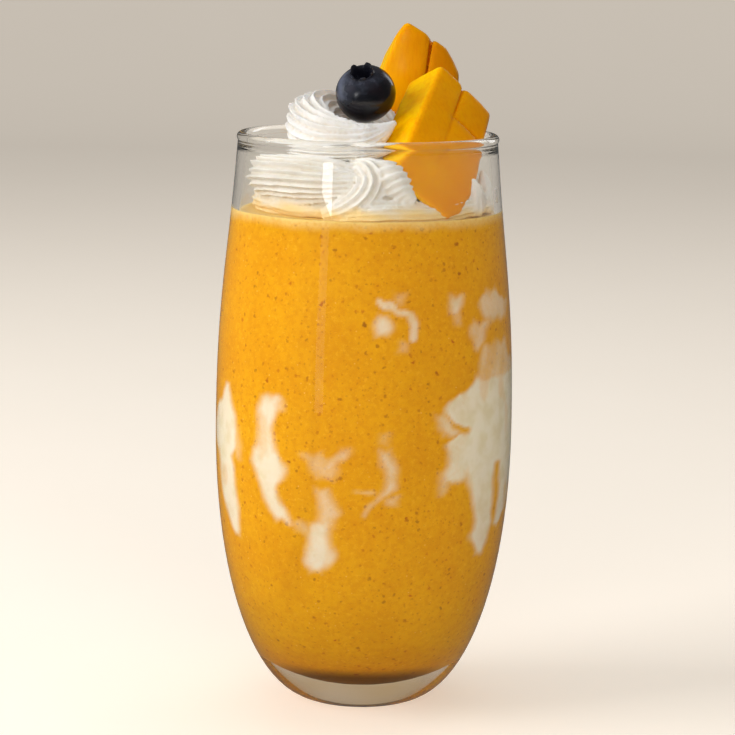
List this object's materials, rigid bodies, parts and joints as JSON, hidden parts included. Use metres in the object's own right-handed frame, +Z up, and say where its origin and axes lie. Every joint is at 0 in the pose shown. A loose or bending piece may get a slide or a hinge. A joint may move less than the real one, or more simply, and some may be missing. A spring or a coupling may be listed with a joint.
{
  "type": "mango smoothie",
  "caption": "Mango smoothie in a clear barrel-shaped tumbler, topped with ridged whipped cream, a blueberry and scored mango pieces.",
  "frame": {"origin": "centre of the flat foot of the tumbler, on the surface it stands on", "axes": "+Z up along the height of the tumbler, +X to the right and -Y towards the viewer, so the mango pieces are on the +X side"},
  "size_m": [0.0748, 0.0748, 0.1705],
  "materials": {
    "clear_glass": "clear polished",
    "smoothie": "smooth thick drink",
    "cream": "soft satin",
    "blueberry": "waxy bloom",
    "mango": "wet cut fruit"
  },
  "bodies": {
    "root": {"glass": "clear_glass", "smoothie": "smoothie", "whipped_cream": "cream", "blueberry": "blueberry", "mango_front": "mango", "mango_back": "mango"}
  },
  "joints": []
}
